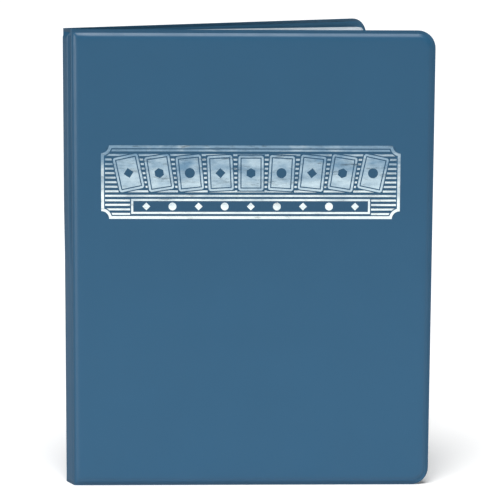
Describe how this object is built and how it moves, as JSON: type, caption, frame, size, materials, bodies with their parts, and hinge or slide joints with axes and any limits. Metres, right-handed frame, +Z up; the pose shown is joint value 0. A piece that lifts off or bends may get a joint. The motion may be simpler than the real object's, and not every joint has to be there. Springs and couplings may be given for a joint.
{
  "type": "trading card album",
  "caption": "Slim padded vinyl album for trading cards, with hinged covers, a bound stack of clear pocket leaves and a foil panel on the front.",
  "frame": {"origin": "middle of the bottom of the album's box as it stands open on its lower edges", "axes": "+Z up along the spine, -Y out of the front cover, +X from the spine to the front cover's free edge"},
  "size_m": [0.236, 0.1245, 0.295],
  "materials": {
    "vinyl_outer": "satin grained vinyl",
    "vinyl_inner": "satin vinyl",
    "vinyl_fold": "satin vinyl",
    "board": "grey chipboard",
    "channel": "satin",
    "page_margin": "frosted",
    "clear_film": "clear gloss film",
    "pocket_film": "clear gloss film",
    "foil": "silver hot-stamped foil",
    "staple_wire": "zinc wire"
  },
  "bodies": {
    "spine": {"spine_skin": "vinyl_outer", "spine_board": "board", "spine_liner": "vinyl_inner", "front_fold": "vinyl_fold", "back_fold": "vinyl_fold", "binding_channel": "channel", "staple_1": "staple_wire", "staple_2": "staple_wire", "staple_3": "staple_wire", "staple_4": "staple_wire", "page_01_margin": "page_margin", "page_02_margin": "page_margin", "page_03_margin": "page_margin", "page_04_margin": "page_margin", "page_05_margin": "page_margin", "page_06_margin": "page_margin", "page_07_margin": "page_margin", "page_08_margin": "page_margin", "page_09_margin": "page_margin", "page_10_margin": "page_margin"},
    "front_cover": {"front_cover_skin": "vinyl_outer", "front_cover_board": "board", "front_cover_liner": "vinyl_inner", "foil_border": "foil", "foil_plaque": "foil", "foil_cards": "foil", "foil_stripes": "foil"},
    "back_cover": {"back_cover_skin": "vinyl_outer", "back_cover_board": "board", "back_cover_liner": "vinyl_inner"},
    "page_01": {"page_01_back_film": "clear_film", "page_01_pocket_film": "pocket_film"},
    "page_02": {"page_02_back_film": "clear_film", "page_02_pocket_film": "pocket_film"},
    "page_03": {"page_03_back_film": "clear_film", "page_03_pocket_film": "pocket_film"},
    "page_04": {"page_04_back_film": "clear_film", "page_04_pocket_film": "pocket_film"},
    "page_05": {"page_05_back_film": "clear_film", "page_05_pocket_film": "pocket_film"},
    "page_06": {"page_06_back_film": "clear_film", "page_06_pocket_film": "pocket_film"},
    "page_07": {"page_07_back_film": "clear_film", "page_07_pocket_film": "pocket_film"},
    "page_08": {"page_08_back_film": "clear_film", "page_08_pocket_film": "pocket_film"},
    "page_09": {"page_09_back_film": "clear_film", "page_09_pocket_film": "pocket_film"},
    "page_10": {"page_10_back_film": "clear_film", "page_10_pocket_film": "pocket_film"}
  },
  "joints": [
    {"name": "front_cover_hinge", "type": "hinge", "parent": "spine", "child": "front_cover", "pos_m": [-0.11151, -0.05999, 0], "axis": [0, 0, -1], "range_deg": [-27.6, 62.4]},
    {"name": "back_cover_hinge", "type": "hinge", "parent": "spine", "child": "back_cover", "pos_m": [-0.11697, -0.04953, 0], "axis": [0, 0, 1], "range_deg": [-1.4, 88.6]},
    {"name": "page_01_crease", "type": "hinge", "parent": "spine", "child": "page_01", "pos_m": [-0.10248, -0.05308, 0.0049], "axis": [0, 0, -1], "range_deg": [-27.61, 62.41]},
    {"name": "page_02_crease", "type": "hinge", "parent": "spine", "child": "page_02", "pos_m": [-0.10211, -0.0519, 0.0049], "axis": [0, 0, -1], "range_deg": [-25.68, 58.04]},
    {"name": "page_03_crease", "type": "hinge", "parent": "spine", "child": "page_03", "pos_m": [-0.10173, -0.05071, 0.0049], "axis": [0, 0, -1], "range_deg": [-23.47, 53.05]},
    {"name": "page_04_crease", "type": "hinge", "parent": "spine", "child": "page_04", "pos_m": [-0.10136, -0.04952, 0.0049], "axis": [0, 0, -1], "range_deg": [-20.99, 47.43]},
    {"name": "page_05_crease", "type": "hinge", "parent": "spine", "child": "page_05", "pos_m": [-0.10099, -0.04833, 0.0049], "axis": [0, 0, -1], "range_deg": [-18.23, 41.19]},
    {"name": "page_06_crease", "type": "hinge", "parent": "spine", "child": "page_06", "pos_m": [-0.1014, -0.04755, 0.0049], "axis": [0, 0, 1], "range_deg": [-0.93, 58.49]},
    {"name": "page_07_crease", "type": "hinge", "parent": "spine", "child": "page_07", "pos_m": [-0.10259, -0.04718, 0.0049], "axis": [0, 0, 1], "range_deg": [-1.07, 67.35]},
    {"name": "page_08_crease", "type": "hinge", "parent": "spine", "child": "page_08", "pos_m": [-0.10377, -0.04681, 0.0049], "axis": [0, 0, 1], "range_deg": [-1.2, 75.32]},
    {"name": "page_09_crease", "type": "hinge", "parent": "spine", "child": "page_09", "pos_m": [-0.10496, -0.04644, 0.0049], "axis": [0, 0, 1], "range_deg": [-1.31, 82.41]},
    {"name": "page_10_crease", "type": "hinge", "parent": "spine", "child": "page_10", "pos_m": [-0.10615, -0.04606, 0.0049], "axis": [0, 0, 1], "range_deg": [-1.41, 88.61]}
  ],
  "couplings": [
    {"joint": "page_01_crease", "follows": "front_cover_hinge", "ratio": 1},
    {"joint": "page_02_crease", "follows": "front_cover_hinge", "ratio": 0.93},
    {"joint": "page_03_crease", "follows": "front_cover_hinge", "ratio": 0.85},
    {"joint": "page_04_crease", "follows": "front_cover_hinge", "ratio": 0.76},
    {"joint": "page_05_crease", "follows": "front_cover_hinge", "ratio": 0.66},
    {"joint": "page_06_crease", "follows": "back_cover_hinge", "ratio": 0.66},
    {"joint": "page_07_crease", "follows": "back_cover_hinge", "ratio": 0.76},
    {"joint": "page_08_crease", "follows": "back_cover_hinge", "ratio": 0.85},
    {"joint": "page_09_crease", "follows": "back_cover_hinge", "ratio": 0.93},
    {"joint": "page_10_crease", "follows": "back_cover_hinge", "ratio": 1}
  ]
}
